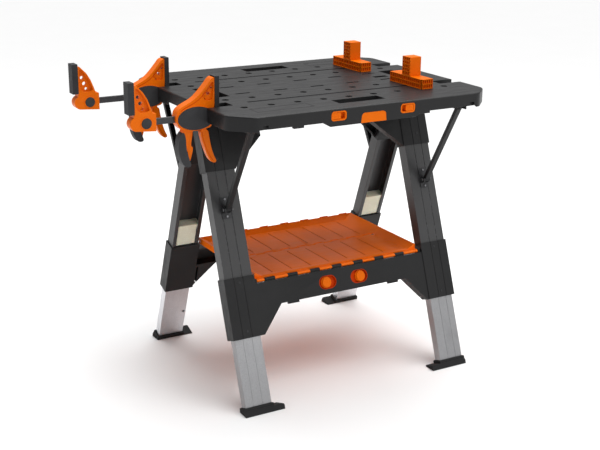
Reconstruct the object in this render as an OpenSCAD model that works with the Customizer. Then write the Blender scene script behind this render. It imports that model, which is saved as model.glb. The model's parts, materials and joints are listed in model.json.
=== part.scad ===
// Folding work table and sawhorse with two bar clamps and two bench dogs.
// X runs along the table, Y across it, Z up. The floor is Z = 0.

/* [Table top] */
// Length of the top along X
top_l = 790; // [760:5:820]
// Width across both raised leaves
top_w = 666; // [650:2:690]
// Height of the top surface with the legs extended
top_h = 805; // [800:1:810]
// Length of each corner chamfer
corner = 56; // [40:1:60]
// Pitch of the dog holes along X
hole_pitch = 77.5; // [76:0.5:80]
// Diameter of a dog hole
hole_d = 19; // [18.5:0.5:19.5]

/* [Legs] */
// Splay of each leg frame from the vertical
splay = 20.05; // [20:0.01:20.1]
// Outer width of a leg channel
leg_w = 82; // [80:1:84]
// Depth of a leg channel
leg_d = 34.5; // [34:0.5:35]
// Distance from the centre to the outer side of a leg
leg_x = 357; // [355:1:358]
// How far the lower legs stand out below the sleeves
leg_out = 204; // [190:1:210]

/* [Tray] */
// Half length of the tray along X
tray_x = 262; // [240:1:264]
// Depth of the tray rim above its floor
tray_rim = 14; // [10:1:16]

/* [Clamps] */
// Distance of each clamp bar from the centre line
clamp_y = 155; // [154:1:156]
// Height of a clamp bar section
bar_h = 16; // [14:1:17]
// Outward shift of the back bar
back_bar_out = 26; // [0:1:30]

/* [Hidden] */
$fn = 48;

orange = [0.85, 0.40, 0.02];
black = [0.16, 0.16, 0.165];
grey = [0.33, 0.33, 0.34];
metal = [0.72, 0.72, 0.73];
nylon = [0.86, 0.82, 0.70];

bench_x = 118.5;              // table centre, so that the whole box is centred
half_l = top_l / 2;
half_w = top_w / 2;
hole_rows = [106, 211];       // distance of the hole rows from the centre line
plate = 5;                    // top plate thickness
wall = 4;                     // skirt and rib thickness
beam_half = 47;               // half width of the centre beam
seam_y = 47.5;                // leaf hinge line
leaf_in = 48;                 // inner edge of a leaf
hinge_z = 768;                // leaf hinge height
wall_z = 776;                 // lower edge of the walls beside the hinges
skirt_z = 772;                // lower edge of the plain skirt
deep_z = 760;                 // lower edge of the deep centre
corner_z = 767;               // lower edge of the corners
hinge_x = [-230, -115, 0, 115, 230];
slot_l = 42;                  // length of a recess over a hinge
end_open = [277, 325];        // X range of the opening near each end
corner_cut = 13;              // how far each corner of the outline is rounded back
notch_y = [134, 176];
notch_x = 323;                // inner end of the clamp notches
grip_y = [235, 280];          // hand-hold slot
grip_x = 70;
latch_x = 105;                // centre of a latch on the front skirt
latch_z = 788;
latch_size = [46, 30];
latch_travel = 12;

foot_y = 310;                 // outer face of the legs at floor level
pivot_s = 792.8;              // leg pivot, measured along the leg
pivot_d = leg_d / 2;          // leg pivot, measured into the leg
pivot_y = foot_y - pivot_s * sin(splay) - pivot_d * cos(splay);
pivot_z = pivot_s * cos(splay) - pivot_d * sin(splay);
rod_r = 5;
sleeve_s = [leg_out, 367];    // sleeve round each leg
panel_s = [277, 342];         // cross panel between the sleeves
shroud_s = 652;               // lower edge of the top shroud
sheet = 2.2;                  // channel wall
groove_x = [25, 52];          // grooves, from the outer side of the leg
tube_top = 425;
foot_s = 24;                  // top of a foot along the leg
slide_x = 51;                 // centre of a thumb slide
slide_s = 309;
slide_r = 18.5;               // pocket of a thumb slide
slide_half = 9;               // half distance between the pocket's two centres
bracket_s = [524, 582];
strut_x = 320;
strut_s = 548;                // strut pivot along the leg
strut_out = 12;               // strut pivot stands off the leg face
strut_len = 274.5;
strut_angle = 29.85;          // strut from the vertical

tray_s = 348;                 // tray hinge along the leg
tray_d = 8;                   // tray hinge into the leg
tray_y = foot_y - tray_s * sin(splay) - tray_d * cos(splay);
tray_z = tray_s * cos(splay) - tray_d * sin(splay);
knuckle_pitch = 70;
knuckle_n = 7;
knuckle_x = -222;             // first finger of the panel; the tray's follow half a pitch on

bar_z = 780;
front_bar_out = -5;           // outward shift of the front bar
dog_x = 242;
dog_y = 150;
dog_base = 27;                // height of a dog's base
dog_h = 79;                   // height of a dog's upright

// ---- frames of reference ----
module bench() { translate([bench_x, 0, 0]) children(); }

module both_sides(side) {
    if (side < 0) children();
    else mirror([0, 1, 0]) children();
}

// Local frame of a leg: x along the table, y into the leg, z up along it.
module leg_frame(side) {
    bench() both_sides(side) translate([0, -foot_y, 0])
        rotate([-splay, 0, 0]) children();
}

module at_end(end) {
    if (end < 0) children();
    else mirror([1, 0, 0]) children();
}

module box(a, b) {
    translate([min(a[0], b[0]), min(a[1], b[1]), min(a[2], b[2])])
        cube([abs(b[0] - a[0]), abs(b[1] - a[1]), abs(b[2] - a[2])]);
}

// A bar along X, centred at x, y, z.
module bar_x(x, y, z, r, l) {
    translate([x - l / 2, y, z]) rotate([0, 90, 0]) cylinder(r = r, h = l);
}

// A bar along Y between two depths.
module bar_y(x, z, r, y0, y1) {
    translate([x, y0, z]) rotate([-90, 0, 0]) cylinder(r = r, h = y1 - y0);
}

// Extrudes an XZ outline from depth y0 to y1.
module slab_y(y0, y1) {
    translate([0, y1, 0]) rotate([90, 0, 0]) linear_extrude(y1 - y0) children();
}

// Extrudes a YZ outline along X from x0 to x1.
module slab_x(x0, x1) {
    translate([x0, 0, 0]) rotate([90, 0, 90]) linear_extrude(x1 - x0) children();
}

// Cuts every corner of an outline twice, which makes a smooth curve of it.
function cut_corners(p) = [for (i = [0:len(p) - 1], t = [0.25, 0.75])
    p[i] * (1 - t) + p[(i + 1) % len(p)] * t];
function smooth(p) = cut_corners(cut_corners(p));

// ---- table top ----
// Points round a 45 degree corner; the outline comes in and leaves at these headings.
function soft_corner(p, heading_in, heading_out) = [for (k = [0:4])
    let (a = -heading_in, b = -heading_out, t = k / 4)
    p + corner_cut * (pow(1 - t, 2) * [-cos(a), -sin(a)] + pow(t, 2) * [cos(b), sin(b)])];

// Outline of the front leaf, inset by i on every edge and opening.
module leaf_plan(i) {
    a = half_l - i;
    c = 0.414 * i;
    difference() {
        polygon(concat([[-a, -leaf_in - i]],
            soft_corner([-a, corner - half_w + c], 90, 45),
            soft_corner([c + corner - half_l, i - half_w], 45, 0),
            soft_corner([half_l - corner - c, i - half_w], 0, -45),
            soft_corner([a, corner - half_w + c], -45, -90),
            [[a, -leaf_in - i]]));
        for (e = [-1, 1]) {
            translate([e * (notch_x + half_l) / 2, -(notch_y[0] + notch_y[1]) / 2])
                square([half_l - notch_x + 2 * i, notch_y[1] - notch_y[0] + 2 * i],
                    center = true);
            translate([e * (end_open[0] + end_open[1]) / 2, -leaf_in])
                square([end_open[1] - end_open[0] + 2 * i, 38 + 2 * i], center = true);
        }
        translate([-grip_x - i, -grip_y[1] - i])
            square([2 * (grip_x + i), grip_y[1] - grip_y[0] + 2 * i]);
    }
}

module leaf_holes() {
    for (k = [-4:4], y = hole_rows)
        translate([k * hole_pitch, -y, top_h - plate - 1])
            cylinder(d = hole_d, h = plate + 2);
}

module hinge_slots() {
    for (x = hinge_x)
        box([x - slot_l / 2, -seam_y - 5, top_h - plate - 1],
            [x + slot_l / 2, -seam_y + 5, top_h + 1]);
}

// Socket under the plate that takes the end of a clamp bar.
module bar_socket() {
    difference() {
        box([-notch_x - 1, -clamp_y - 9, skirt_z - 4], [-notch_x + 68, -clamp_y + 9, 801]);
        box([-notch_x - 2, -clamp_y - 3.9, bar_z - bar_h / 2 - 0.4],
            [-notch_x + 66, -clamp_y + 3.9, bar_z + bar_h / 2 + 0.4]);
    }
}

// Two cheeks and a bearing block that take the top of a strut.
module strut_keeper(e) {
    for (d = [-1, 1])
        box([e * strut_x + d * 8.5, -288, 752], [e * strut_x + d * 12, -252, top_h - plate + 1]);
    box([e * strut_x - 9, -288, 764.1], [e * strut_x + 9, -252, top_h - plate + 1]);
}

module leaf_knuckles() {
    for (x = hinge_x, d = [-1, 1]) {
        bar_x(x + d * 19.5, -seam_y, hinge_z, 5, 14);
        box([x + d * 19.5 - 7, -leaf_in - wall, hinge_z - 3],
            [x + d * 19.5 + 7, -leaf_in - 0.2, wall_z + 1]);
    }
}

module leaf(latches) {
    difference() {
        union() {
            translate([0, 0, top_h - plate]) linear_extrude(plate) leaf_plan(0);
            difference() {
                translate([0, 0, deep_z]) linear_extrude(top_h - plate - deep_z + 1)
                    leaf_plan(0);
                translate([0, 0, deep_z - 1]) linear_extrude(top_h - plate - deep_z + 1)
                    leaf_plan(wall);
                // hinge side, corners and ends stay shallow, with a gap beside each corner
                box([-half_l - 1, -leaf_in - 24, deep_z - 1],
                    [half_l + 1, -leaf_in + 1, wall_z]);
                for (e = [-1, 1]) {
                    box([e * 322, -half_w - 1, deep_z - 1], [e * (half_l + 1), -60, corner_z]);
                    box([e * 306, -half_w - 1, deep_z - 1], [e * 322, -half_w + 60, 782]);
                }
                // plain skirt between the corners and the deep centre
                for (e = [-1, 1])
                    slab_y(-half_w - 1, -half_w + 60) polygon([[e * 128, deep_z - 1],
                        [e * 152, skirt_z], [e * 330, skirt_z], [e * 330, deep_z - 1]]);
            }
            for (x = [-190, -100, 100, 190])
                box([x - 1.5, -half_w + 20, 784], [x + 1.5, -leaf_in - 2, top_h - plate + 1]);
            for (x = [-235, 147])
                box([x, -half_w, 766], [x + 29, -half_w + 10, skirt_z + 2]);
            bar_socket();
            for (e = [-1, 1]) strut_keeper(e);
            leaf_knuckles();
        }
        leaf_holes();
        hinge_slots();
        // long shallow grooves in the surface
        box([-272, -163, top_h - 2], [272, -151, top_h + 1]);
        // bar passage through the notch wall
        box([-notch_x - 2, -clamp_y - 3.9, bar_z - bar_h / 2 - 0.4],
            [-notch_x + 66, -clamp_y + 3.9, bar_z + bar_h / 2 + 0.4]);
        for (x = hinge_x) bar_x(x, -seam_y, hinge_z, 2.55, 60);
        if (latches) {
            for (e = [-1, 1])
                box([e * latch_x - latch_size[0] / 2, -half_w - 1, latch_z - latch_size[1] / 2],
                    [e * latch_x + latch_size[0] / 2, -half_w + wall + 1,
                        latch_z + latch_size[1] / 2 - 4]);
            box([-40, -half_w - 1, deep_z - 1], [40, -half_w + wall + 1, 787]);
        }
    }
}

module leaf_front() { bench() color(grey) leaf(true); }
module leaf_back() { bench() color(grey) mirror([0, 1, 0]) leaf(false); }

module latch_frame(e) {
    h = latch_size[1] - 4;
    z = latch_z - 2;
    difference() {
        box([e * latch_x - latch_size[0] / 2, -half_w, z - h / 2],
            [e * latch_x + latch_size[0] / 2, -half_w + 14, z + h / 2]);
        box([e * latch_x - latch_size[0] / 2 + 4, -half_w - 1, z - h / 2 + 4],
            [e * latch_x + latch_size[0] / 2 - 4, -half_w + 12, z + h / 2 - 4]);
    }
}

module leaf_front_trim() {
    bench() color(orange) {
        for (e = [-1, 1]) latch_frame(e);
        difference() {
            box([-40, -half_w, deep_z], [40, -half_w + 22, 787]);
            box([-37, -half_w + 3, deep_z - 1], [37, -half_w + 19, 784]);
        }
    }
}

// A latch block inside its frame; the outer half of the frame stays open.
module latch(e) {
    x0 = latch_x - latch_size[0] / 2 + 4.4;
    bench() color(orange)
        box([e * (x0 + latch_travel), -half_w + 1, latch_z - 10.5],
            [e * (latch_x + latch_size[0] / 2 - 4.4), -half_w + 11, latch_z + 6.5]);
}
module latch_left() { latch(-1); }
module latch_right() { latch(1); }

module centre_beam() {
    bench() color(grey) difference() {
        union() {
            box([-half_l, -beam_half, top_h - plate], [half_l, beam_half, top_h]);
            for (s = [-1, 1]) {
                box([-half_l, s * beam_half, wall_z], [half_l, s * (beam_half - wall), top_h - 1]);
                for (x = hinge_x) {
                    bar_x(x, s * seam_y, hinge_z, 5, 24);
                    box([x - 12, s * (beam_half - wall), hinge_z - 3],
                        [x + 12, s * (beam_half - 0.2), wall_z + 1]);
                }
            }
            for (e = [-1, 1]) {
                box([e * half_l, -beam_half, wall_z],
                    [e * (half_l - wall), beam_half, top_h - 1]);
                box([e * 366.5, -42, 724], [e * 376.5, 42, top_h - 1]);
                for (x = end_open)
                    box([e * x - 2, -beam_half, 786], [e * x + 2, beam_half, top_h - 1]);
            }
            for (x = [-180, 180])
                box([x - 1.5, -beam_half + 1, 780], [x + 1.5, beam_half - 1, top_h - 1]);
        }
        for (e = [-1, 1]) {
            box([e * end_open[0], wall - beam_half, wall_z - 6],
                [e * end_open[1], beam_half - wall, top_h + 1]);
            box([e * end_open[0], -beam_half - 1, top_h - 10],
                [e * end_open[1], beam_half + 1, top_h + 1]);
        }
        box([212, -17, top_h - plate - 1], [256, 2, top_h + 1]);
        hinge_slots();
        mirror([0, 1, 0]) hinge_slots();
        for (s = [-1, 1]) {
            for (x = hinge_x) bar_x(x, s * seam_y, hinge_z, 2.52, 60);
            bar_x(0, s * pivot_y, pivot_z, rod_r + 0.02, 800);
        }
    }
}

module hinge_rods() {
    bench() color(metal) for (s = [-1, 1]) {
        bar_x(0, s * pivot_y, pivot_z, rod_r, 758);
        for (x = hinge_x) bar_x(x, s * seam_y, hinge_z, 2.5, 52);
    }
}

// ---- leg frames ----
// Grooves that carry the lines of a channel over the sleeve and the shroud.
module face_grooves(d, s0, s1) {
    for (g = groove_x)
        box([leg_x - g - 1, d - 1, s0], [leg_x - g + 1, d + 1.2, s1]);
}

module channel(side, end) {
    leg_frame(side) at_end(-end) color(black) {
        translate([leg_x - leg_w, 0, 0]) difference() {
            box([0, 0, 214], [leg_w, leg_d, 780]);
            box([sheet, sheet, 213], [leg_w - sheet, leg_d - sheet, 781]);
            box([11, leg_d - sheet - 1, 213], [leg_w - 11, leg_d + 1, 781]);
            for (g = groove_x)
                box([leg_w - g - 1.2, -1, 213], [leg_w - g + 1.2, 1.4, 781]);
        }
    }
}
module front_left_channel() { channel(-1, -1); }
module front_right_channel() { channel(-1, 1); }
module back_left_channel() { channel(1, -1); }
module back_right_channel() { channel(1, 1); }

module shroud(end) {
    x0 = leg_x - leg_w - 3.5;
    x1 = leg_x + 3.5;
    d0 = -2;
    d1 = leg_d + 2;
    at_end(-end) difference() {
        union() {
            box([x0, d0, shroud_s], [x1, d1, pivot_s]);
            bar_x((x0 + x1) / 2, pivot_d, pivot_s, pivot_d + 2, x1 - x0);
            slab_y(1, 22) polygon([[x0 + 1, shroud_s], [x0 + 1, 776], [182, 776], [182, 732]]);
        }
        box([leg_x - leg_w - 0.1, -0.1, shroud_s - 1], [leg_x + 0.1, leg_d + 0.1, 781]);
        bar_x((x0 + x1) / 2, pivot_d, pivot_s, rod_r + 0.06, 120);
        slab_y(4, 23) polygon([[x0 - 2, shroud_s + 10], [x0 - 2, 773], [186, 773], [186, 735]]);
        face_grooves(d0, shroud_s - 1, pivot_s - 14);
    }
}

module shrouds(side) {
    leg_frame(side) color(black) for (e = [-1, 1]) shroud(e);
}
module front_shrouds() { shrouds(-1); }
module back_shrouds() { shrouds(1); }

module sleeve(end) {
    x0 = leg_x - leg_w - 3.5;
    x1 = leg_x + 3.5;
    at_end(-end) difference() {
        box([x0, -3, sleeve_s[0]], [x1, leg_d + 2.5, sleeve_s[1]]);
        box([leg_x - leg_w - 0.1, -0.1, 214], [leg_x + 0.1, leg_d + 0.1, 368]);
        box([leg_x - leg_w + 2, 2.4, 203], [leg_x - 2, leg_d - 4.5, 215]);
        face_grooves(-3, sleeve_s[0] - 1, sleeve_s[1] + 1);
    }
}

module panel_outline(i) {
    x = leg_x - leg_w - 2;
    polygon([[-x, panel_s[1]], [x, panel_s[1]], [x, sleeve_s[0] + i],
        [266 + i, sleeve_s[0] + i], [202, panel_s[0]], [-202, panel_s[0]],
        [-266 - i, sleeve_s[0] + i], [-x, sleeve_s[0] + i]]);
}

// Long round pocket that a thumb slide runs in.
module slide_pocket(d0, d1, r) {
    for (e = [-1, 1]) bar_y(e * slide_half, 0, r, d0, d1);
    box([-slide_half, d0, -r], [slide_half, d1, r]);
}

// Cross panel with its two sleeves; the hinge side carries fingers for the tray.
module panel(side) {
    top = side < 0 ? panel_s[1] : panel_s[1] - 4;
    leg_frame(side) color(black) difference() {
        union() {
            for (e = [-1, 1]) sleeve(e);
            difference() {
                slab_y(-1, 28) panel_outline(0);
                slab_y(3, 29) intersection() {
                    panel_outline(4);
                    translate([-300, panel_s[0] + 4]) square([600, top - panel_s[0] - 8]);
                }
                slab_y(3, 29) for (e = [-1, 1])
                    translate([e * 264 - (e > 0 ? 6 : 0), 212]) square([6, 60]);
            }
            for (e = [-1, 1])
                box([e * 146, 2, 271], [e * 178, 12, panel_s[0] + 1]);
            for (e = [-1, 1])
                translate([e * slide_x, 0, slide_s]) slide_pocket(2, 9, slide_r + 3);
            if (side < 0) for (k = [0:knuckle_n - 1]) {
                x = knuckle_x + k * knuckle_pitch;
                bar_x(x, tray_d, tray_s, 5, 30);
                box([x - 15, tray_d - 4, panel_s[1] - 1], [x + 15, tray_d + 4, tray_s]);
            }
        }
        if (side > 0) box([-270, -2, top], [270, 40, panel_s[1] + 1]);
        bar_x(0, tray_d, tray_s, 2.06, 540);
        for (e = [-1, 1])
            translate([e * slide_x, 0, slide_s]) slide_pocket(-2, 6.1, slide_r);
    }
}
module front_panel() { panel(-1); }
module back_panel() { panel(1); }

module thumb_slide(side, end) {
    leg_frame(side) color(orange) {
        x = end * slide_x;
        translate([x + end * 4, 0, slide_s]) {
            bar_y(0, 0, 16, 0.5, 6);
            bar_y(0, 0, 13.5, -3.5, 1);
        }
    }
}
module front_slide_left() { thumb_slide(-1, -1); }
module front_slide_right() { thumb_slide(-1, 1); }
module back_slide_left() { thumb_slide(1, -1); }
module back_slide_right() { thumb_slide(1, 1); }

// Bracket, its pivot pin and its rivets, one on each leg of a frame.
module strut_brackets(side) {
    leg_frame(side) color(metal) for (e = [-1, 1]) {
        difference() {
            union() {
                box([e * 306, -2, bracket_s[0]], [e * 334, 0, bracket_s[1]]);
                for (x = [strut_x - 11, strut_x + 8]) {
                    box([e * x, -strut_out, strut_s - 9], [e * (x + 3), -1, strut_s + 9]);
                    bar_x(e * (x + 1.5), -strut_out, strut_s, 8, 3);
                }
            }
            bar_x(e * strut_x, -strut_out, strut_s, 4.02, 60);
        }
        bar_x(e * strut_x, -strut_out, strut_s, 4, 27);
        for (s = [bracket_s[0] + 6, bracket_s[1] - 6])
            bar_y(e * strut_x, s, 3.5, -4, -2);
    }
}
module front_strut_brackets() { strut_brackets(-1); }
module back_strut_brackets() { strut_brackets(1); }

module strut(side, end) {
    y = -foot_y + strut_s * sin(splay) - strut_out * cos(splay);
    z = strut_s * cos(splay) + strut_out * sin(splay);
    bench() both_sides(side) translate([end * strut_x, y, z])
        rotate([strut_angle, 0, 0]) color(black) difference() {
            union() {
                bar_x(0, 0, 0, 7.5, 15);
                box([-7.5, -5.5, 0], [7.5, 5.5, strut_len]);
                bar_x(0, 0, strut_len, 7, 15);
            }
            bar_x(0, 0, 0, 4.06, 20);
            box([-5.3, -3.3, 12], [5.3, 6, strut_len - 14]);
        }
}
module front_left_strut() { strut(-1, -1); }
module front_right_strut() { strut(-1, 1); }
module back_left_strut() { strut(1, -1); }
module back_right_strut() { strut(1, 1); }

module tube(side, end) {
    leg_frame(side) at_end(-end) color(metal) translate([leg_x - leg_w, 0, 0])
        difference() {
            box([2.8, 3.2, foot_s], [leg_w - 2.8, leg_d - 5.5, tube_top]);
            box([4.8, 5.2, 13], [leg_w - 4.8, leg_d - 7.5, tube_top + 1]);
            for (g = groove_x)
                box([leg_w - g - 1.2, 2, 13], [leg_w - g + 1.2, 3.9, tube_top + 1]);
            bar_y(10, 107, 4, leg_d - 9, leg_d - 4);
        }
}
module front_left_tube() { tube(-1, -1); }
module front_right_tube() { tube(-1, 1); }
module back_left_tube() { tube(1, -1); }
module back_right_tube() { tube(1, 1); }

// Nylon guide at the top of a lower leg, running inside the channel.
module guide(side, end) {
    leg_frame(side) at_end(-end) color(nylon) translate([leg_x - leg_w, 0, 0]) {
        box([5, 5.4, 385], [leg_w - 5, leg_d - 7.7, tube_top]);
        box([2.6, 2.6, tube_top], [leg_w - 2.6, leg_d - 2.6, 437]);
        box([12, leg_d - 5.4, 369], [leg_w - 12, leg_d - 2.6, tube_top]);
    }
}
module front_left_guide() { guide(-1, -1); }
module front_right_guide() { guide(-1, 1); }
module back_left_guide() { guide(1, -1); }
module back_right_guide() { guide(1, 1); }

// Foot with a level sole; its plug enters the tube.
module foot(side, end) {
    color(black) {
        difference() {
            leg_frame(side) at_end(-end) union() {
                box([243, -3, -20], [leg_x + 4, leg_d + 1, foot_s]);
                translate([leg_x - leg_w, 0, 0])
                    box([5, 5.4, foot_s - 1], [leg_w - 5, leg_d - 7.7, 60]);
            }
            translate([-600, -400, -60]) cube([1300, 800, 60]);
        }
    }
}
module front_left_foot() { foot(-1, -1); }
module front_right_foot() { foot(-1, 1); }
module back_left_foot() { foot(1, -1); }
module back_right_foot() { foot(1, 1); }

// ---- tray ----
// Front half: floor, side rims, end edge, hinge knuckles at both edges. The end edge
// is a low band on one half and a tall sloped rim on the other.
module tray_half(centre_phase, low_end) {
    z0 = tray_z + 0.8;
    y0 = -tray_y + 7;
    y1 = -7;
    top = z0 + 3 + tray_rim;
    difference() {
        union() {
            box([-tray_x, y0, z0], [tray_x, y1, z0 + 3]);
            if (low_end) box([-tray_x, y0, z0], [tray_x, y0 + 12, z0 + 5]);
            else slab_x(-tray_x, tray_x)
                polygon([[y0, z0], [y0, top], [y0 + 3, top], [y0 + 15, z0 + 3], [y0 + 15, z0]]);
            for (e = [-1, 1])
                slab_y(low_end ? y0 + 4 : y0, -0.4) polygon([[e * 236, z0], [e * 233, z0 + 3],
                    [e * (tray_x - 3), top], [e * tray_x, top], [e * tray_x, z0]]);
        }
        for (k = [-3:3])
            box([k * 60 + centre_phase * 15 - 1.5, y0 + 24, z0 + 1.6],
                [k * 60 + centre_phase * 15 + 1.5, y1 - 10, z0 + 4]);
    }
    // edge knuckles between the panel fingers
    for (k = [0:knuckle_n - 1]) {
        x = knuckle_x + (k + 0.5) * knuckle_pitch;
        difference() {
            union() {
                bar_x(x, -tray_y, tray_z, 5, 39);
                box([x - 19.5, -tray_y, tray_z - 2], [x + 19.5, y0 + 2, tray_z + 4]);
            }
            if (low_end) bar_x(x, -tray_y, tray_z, 2.02, 60);
        }
    }
    // centre knuckles alternate with those of the other half
    for (k = [-4:4]) {
        x = k * 56 + centre_phase * 14;
        if (abs(x) < 215) difference() {
            union() {
                bar_x(x, 0, tray_z, 4, 27);
                box([x - 13.5, -10, tray_z - 2], [x + 13.5, -2.5, tray_z + 3.8]);
            }
            bar_x(x, 0, tray_z, low_end ? 2.02 : 2.06, 60);
        }
    }
}
module tray_front() { bench() color(orange) tray_half(-1, true); }
module tray_back() { bench() color(orange) mirror([0, 1, 0]) tray_half(1, false); }

module tray_rods() {
    bench() color(metal) {
        bar_x(0, -tray_y, tray_z, 2, 2 * tray_x + 4);
        bar_x(0, 0, tray_z, 2, 462);
    }
}

// ---- clamps: outlines in the XZ plane, bar along X ----
jaw_t = 13;                   // half thickness of the jaws
web_t = 4;                    // half thickness of the jaw's web
jaw_holes = [[-577, 845, 4.5], [-571, 829, 5], [-566, 815, 4]];
module clamp_frame(side, out) {
    bench() translate([-out, side * clamp_y, 0]) children();
}

module clamp_bar(side, out) {
    clamp_frame(side, out) color(grey)
        box([-598, -3.5, bar_z - bar_h / 2], [-262 + out * 0.2, 3.5, bar_z + bar_h / 2]);
}

module clamp_jaw(side, out) {
    clamp_frame(side, out) color(orange) difference() {
        union() {
            slab_y(-jaw_t, jaw_t) polygon([[-584, 762], [-534, 758], [-534, 803], [-543, 805],
                [-548, 820], [-556, 840], [-567, 858], [-585, 876], [-592, 876], [-592, 800]]);
            bar_y(-584, bar_z, 18, -jaw_t, jaw_t);
        }
        box([-599, -3.7, bar_z - bar_h / 2 - 0.2], [-530, 3.7, bar_z + bar_h / 2 + 0.2]);
        for (h = jaw_holes) bar_y(h[0], h[1], h[2], -20, 20);
        // the arm is a thin web between its edges
        for (d = [-20, web_t]) slab_y(d, d + 20 - web_t) polygon(smooth([[-587, 808], [-549, 808],
            [-553, 822], [-561, 842], [-571, 857], [-581, 868], [-587, 868]]));
        bar_y(-560, bar_z, 13.2, -jaw_t - 1, -jaw_t + 6);
    }
}

module clamp_jaw_pad(side, out) {
    clamp_frame(side, out) color(black) difference() {
        box([-606, -15, 804], [-590, 15, 883]);
        box([-592.2, -jaw_t - 0.2, 803], [-589, jaw_t + 0.2, 876.2]);
    }
}

module clamp_button(side, out) {
    clamp_frame(side, out) color(black) bar_y(-560, bar_z, 13, -jaw_t - 3, -jaw_t + 1.5);
}

body_pts = [[-466, 756], [-452, 750], [-420, 752], [-384, 751], [-375, 766], [-372, 800],
    [-370, 822], [-368, 842], [-366, 869], [-365, 878], [-377, 879], [-390, 863], [-407, 844],
    [-426, 827], [-451, 816], [-470, 806], [-476, 792], [-476, 772]];
handle_pts = [[-456, 759], [-461, 730], [-462, 704], [-459, 690], [-447, 688], [-445, 705],
    [-442, 730], [-428, 759]];
grip_pts = [[-456, 749], [-464, 740], [-469, 727], [-471, 703], [-466, 678], [-456, 659],
    [-446, 655], [-435, 658], [-441, 674], [-450, 704], [-450, 732]];
lever_pts = [[-409, 748], [-406, 728], [-397, 697], [-385, 668], [-372, 657], [-363, 662],
    [-371, 676], [-379, 700], [-384, 728], [-387, 748]];
trigger_pts = [[-438, 745], [-441, 722], [-443.4, 704], [-442.4, 681], [-439, 665], [-433, 684],
    [-428, 705], [-435, 708], [-432, 728], [-428, 745]];

trigger_slot = [[-450, 664], [-452, 704], [-449, 740], [-440, 753], [-424, 753], [-424, 664]];

module clamp_body(side) {
    clamp_frame(side, 0) color(orange) difference() {
        union() {
            slab_y(-jaw_t, jaw_t) polygon(smooth(body_pts));
            difference() {
                slab_y(-jaw_t + 3, jaw_t - 3) polygon(smooth(handle_pts));
                slab_y(-jaw_t, jaw_t) polygon(smooth(grip_pts));
            }
        }
        box([-480, -3.8, bar_z - bar_h / 2 - 0.3], [-370, 3.8, bar_z + bar_h / 2 + 0.3]);
        // pockets for the lever and the trigger
        slab_y(-6.5, 6.5) polygon([[-441, 751], [-441, 763], [-424, 763], [-424, 751]]);
        slab_y(-8, 8) polygon([[-412, 740], [-412, 763], [-383, 763], [-383, 740]]);
        slab_y(-6.6, 6.6) polygon(trigger_slot);
        for (h = [[-377, 853, 3], [-386, 839, 4.5], [-396, 825, 2.5]])
            bar_y(h[0], h[1], h[2], -20, 20);
        for (d = [-20, 7]) slab_y(d, d + 13) polygon(smooth([[-377, 818], [-374, 842],
            [-372, 862], [-375, 871], [-389, 855], [-407, 838], [-402, 827]]));
        bar_y(-398, 757, 2.52, -20, 20);
        bar_y(-433, 757, 2.02, -20, 20);
    }
}

module oval(y0, y1) {
    translate([-422, 0, bar_z]) slab_y(y0, y1) oval_outline();
}

oval_r = [50, 29];
module oval_outline() {
    polygon([for (a = [0:10:350]) [oval_r[0] * cos(a), oval_r[1] * sin(a)]]);
}

module clamp_covers(side) {
    clamp_frame(side, 0) color(black) {
        oval(-jaw_t - 3, -jaw_t);
        oval(jaw_t, jaw_t + 3);
        difference() {
            slab_y(-jaw_t + 1, jaw_t - 1) polygon(smooth(grip_pts));
            slab_y(-jaw_t, jaw_t) polygon(smooth(body_pts));
            slab_y(-6.6, 6.6) polygon(trigger_slot);
        }
    }
}

module clamp_pad(side) {
    clamp_frame(side, 0) color(black) difference() {
        box([-370.5, -15, 801], [-358, 15, 882]);
        slab_y(-jaw_t - 0.2, jaw_t + 0.2) polygon([[-372, 800], [-371, 800], [-369, 822],
            [-367, 842], [-365.2, 868], [-364.2, 879.4], [-372, 879.4]]);
    }
}

module clamp_lever(side) {
    clamp_frame(side, 0) color(orange) difference() {
        union() {
            slab_y(-7, 7) polygon(smooth(lever_pts));
            bar_y(-398, 757, 5.5, -7, 7);
            box([-404, -7, 745], [-392, 7, 757]);
        }
        bar_y(-398, 757, 2.5, -20, 20);
    }
    clamp_frame(side, 0) color(metal) bar_y(-398, 757, 2.5, -jaw_t + 0.5, jaw_t - 0.5);
}

module clamp_trigger(side) {
    clamp_frame(side, 0) color(orange) difference() {
        union() {
            slab_y(-6, 6) polygon(smooth(trigger_pts));
            bar_y(-433, 757, 4.5, -6, 6);
            box([-437.5, -6, 744], [-428.5, 6, 757]);
        }
        bar_y(-433, 757, 2, -20, 20);
    }
    clamp_frame(side, 0) color(metal) bar_y(-433, 757, 2, -jaw_t + 0.5, jaw_t - 0.5);
}

module front_clamp_bar() { clamp_bar(-1, front_bar_out); }
module front_clamp_jaw() { clamp_jaw(-1, front_bar_out); }
module front_clamp_jaw_pad() { clamp_jaw_pad(-1, front_bar_out); }
module front_clamp_button() { clamp_button(-1, front_bar_out); }
module front_clamp_body() { clamp_body(-1); }
module front_clamp_covers() { clamp_covers(-1); }
module front_clamp_pad() { clamp_pad(-1); }
module front_clamp_lever() { clamp_lever(-1); }
module front_clamp_trigger() { clamp_trigger(-1); }
module back_clamp_bar() { clamp_bar(1, back_bar_out); }
module back_clamp_jaw() { clamp_jaw(1, back_bar_out); }
module back_clamp_jaw_pad() { clamp_jaw_pad(1, back_bar_out); }
module back_clamp_button() { clamp_button(1, back_bar_out); }
module back_clamp_body() { clamp_body(1); }
module back_clamp_covers() { clamp_covers(1); }
module back_clamp_pad() { clamp_pad(1); }
module back_clamp_lever() { clamp_lever(1); }
module back_clamp_trigger() { clamp_trigger(1); }

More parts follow.
